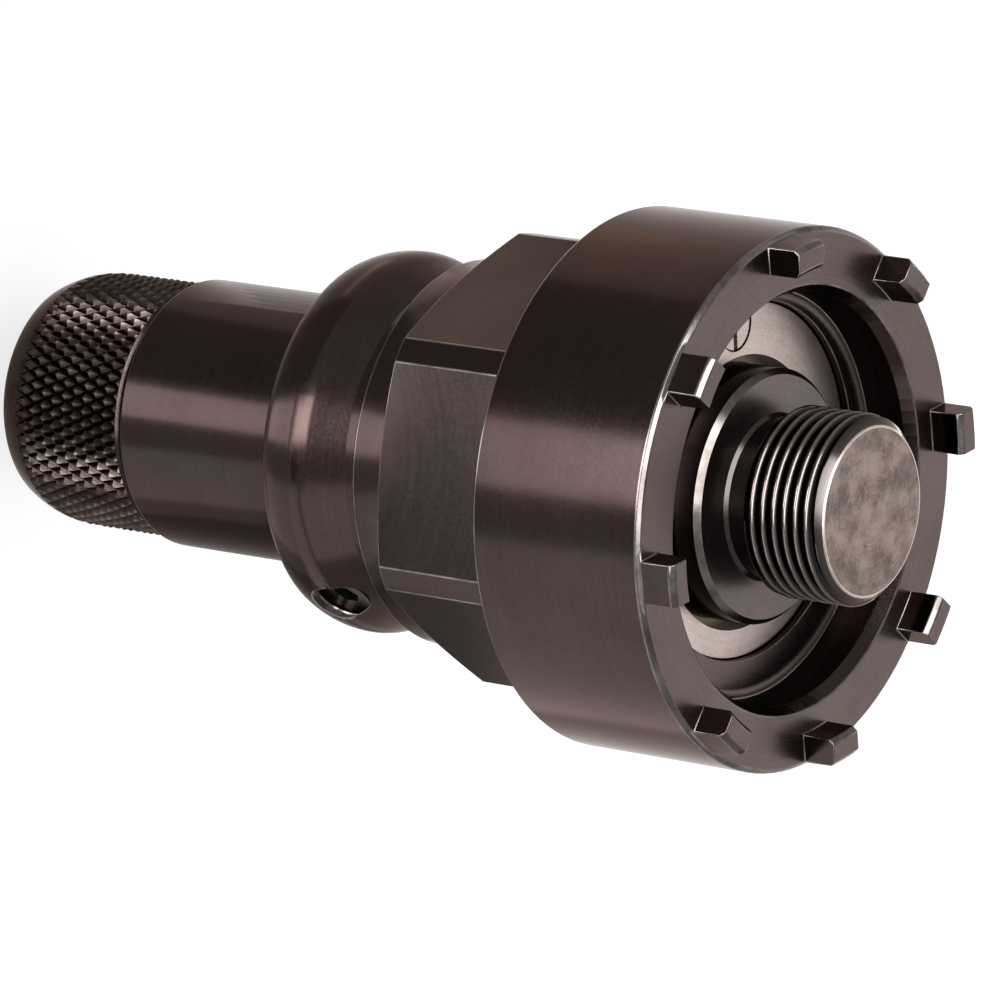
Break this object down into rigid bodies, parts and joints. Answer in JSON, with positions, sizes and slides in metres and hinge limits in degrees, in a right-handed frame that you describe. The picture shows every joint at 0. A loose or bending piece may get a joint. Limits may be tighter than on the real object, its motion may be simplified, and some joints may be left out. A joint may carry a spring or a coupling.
{
  "type": "lockring tool",
  "caption": "Turned steel lockring tool: toothed cup, hexagon for a wrench, and a sliding threaded spindle turned by a knurled rear knob.",
  "frame": {"origin": "centre of the knob's flat rear end, on which the tool stands", "axes": "+Z along the tool's axis, from the knob towards the teeth; +X and +Y across it, the first tooth 17.6 degrees from +X towards +Y"},
  "size_m": [0.0426, 0.0426, 0.0794],
  "materials": {
    "blackened_steel": "black-oxide steel, satin",
    "bronze": "plain bearing bronze",
    "bare_steel": "bare brushed steel",
    "screw_steel": "black-oxide steel screw",
    "spindle_steel": "black-oxide steel, end face ground bare"
  },
  "bodies": {
    "tool_body": {"tool_body": "blackened_steel", "front_bush": "bronze", "rear_bush": "bronze", "retaining_plate": "bare_steel", "plate_screw": "screw_steel", "travel_set_screw": "screw_steel"},
    "thrust_washer": {"thrust_washer": "bare_steel"},
    "spindle": {"spindle": "spindle_steel", "knob": "blackened_steel", "knob_screw": "screw_steel"}
  },
  "joints": [
    {"name": "spindle_slide", "type": "slide", "parent": "tool_body", "child": "thrust_washer", "axis": [0, 0, 1], "range_m": [-0.006, 0]},
    {"name": "spindle_turn", "type": "hinge", "parent": "thrust_washer", "child": "spindle", "pos_m": [0, 0, 0.0138], "axis": [0, 0, 1], "continuous": true}
  ]
}
